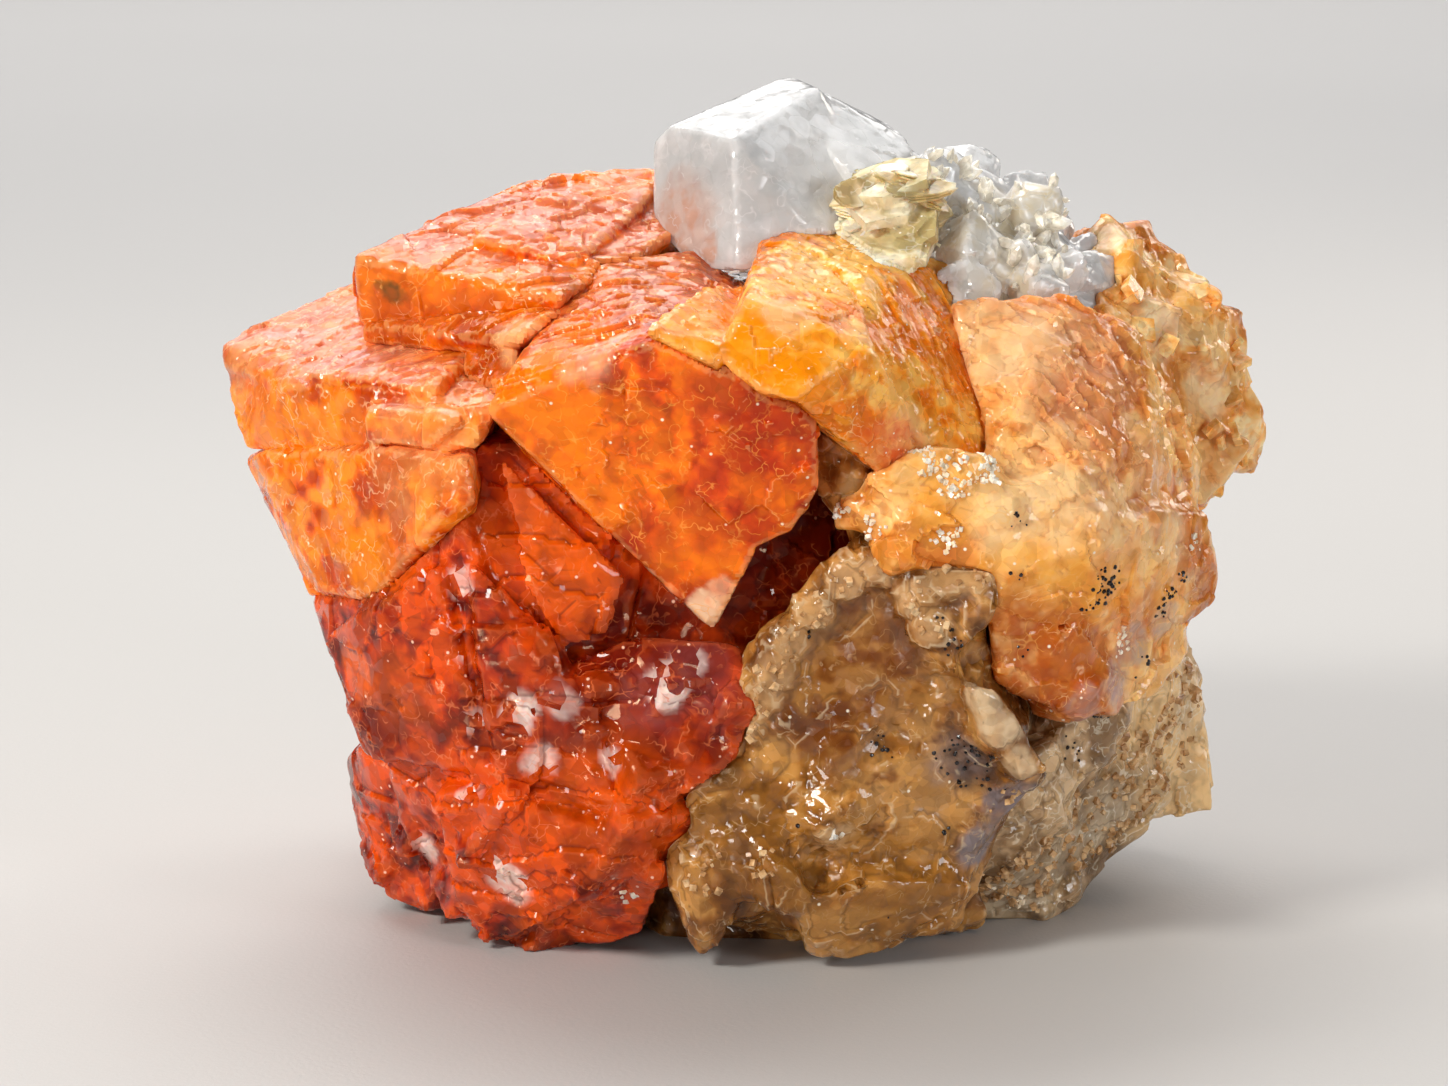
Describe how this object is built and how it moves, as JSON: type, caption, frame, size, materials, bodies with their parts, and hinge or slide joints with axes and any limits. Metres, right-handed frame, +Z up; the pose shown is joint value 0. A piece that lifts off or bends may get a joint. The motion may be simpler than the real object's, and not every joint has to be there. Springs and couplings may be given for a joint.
{
  "type": "scheelite crystal specimen on calcite matrix",
  "caption": "Display specimen of orange scheelite crystals on tan calcite matrix, with a clear quartz crystal on top.",
  "frame": {"origin": "middle of the overall box, on the surface that the specimen rests on", "axes": "+X to the right and +Y away from the viewer of the display side, +Z up; the specimen rests on its worn flat underside"},
  "size_m": [0.09, 0.0712, 0.07],
  "materials": {
    "golden_scheelite": "glossy golden-orange crystal, translucent, finely striated, with yellow glowing facets at the front",
    "orange_scheelite": "bright orange translucent crystal with a glassy broad face, fine pale healed fractures and a frosted tip",
    "clear_quartz": "clear to milky quartz with grey veils inside, glassy faces and an orange stain low on the left",
    "yellow_mica": "pale straw-yellow leaves with a pearly gloss",
    "stepped_scheelite": "orange translucent crystal, pinkish and mirror-like on its stepped top, finely veined in front",
    "amber_scheelite": "amber translucent crystal with a flaked, reflective roof and a clear glowing front band",
    "peach_scheelite": "peach to pinkish-brown translucent crystal mass, striated above, glossy and black-specked below",
    "crust_scheelite": "pale peach crust of small intergrown crystals, sugary and glossy",
    "red_scheelite": "deep red-orange cleaved scheelite, wet-looking, with white glints on broken steps",
    "pale_calcite": "cream to tan sugary calcite with a greasy gloss",
    "honey_calcite": "honey-brown translucent calcite with pale crumbly rims, grey veins and black grains"
  },
  "bodies": {
    "root": {"golden_scheelite_crystal": "golden_scheelite", "wedge_scheelite_crystal": "orange_scheelite", "quartz_cluster": "clear_quartz", "mica_rosette": "yellow_mica", "left_scheelite_crystal": "stepped_scheelite", "top_scheelite_crystal": "amber_scheelite", "right_scheelite_mass": "peach_scheelite", "peach_scheelite_crust": "crust_scheelite", "red_scheelite_base": "red_scheelite", "calcite_spur": "pale_calcite", "calcite_matrix": "honey_calcite"}
  },
  "joints": []
}
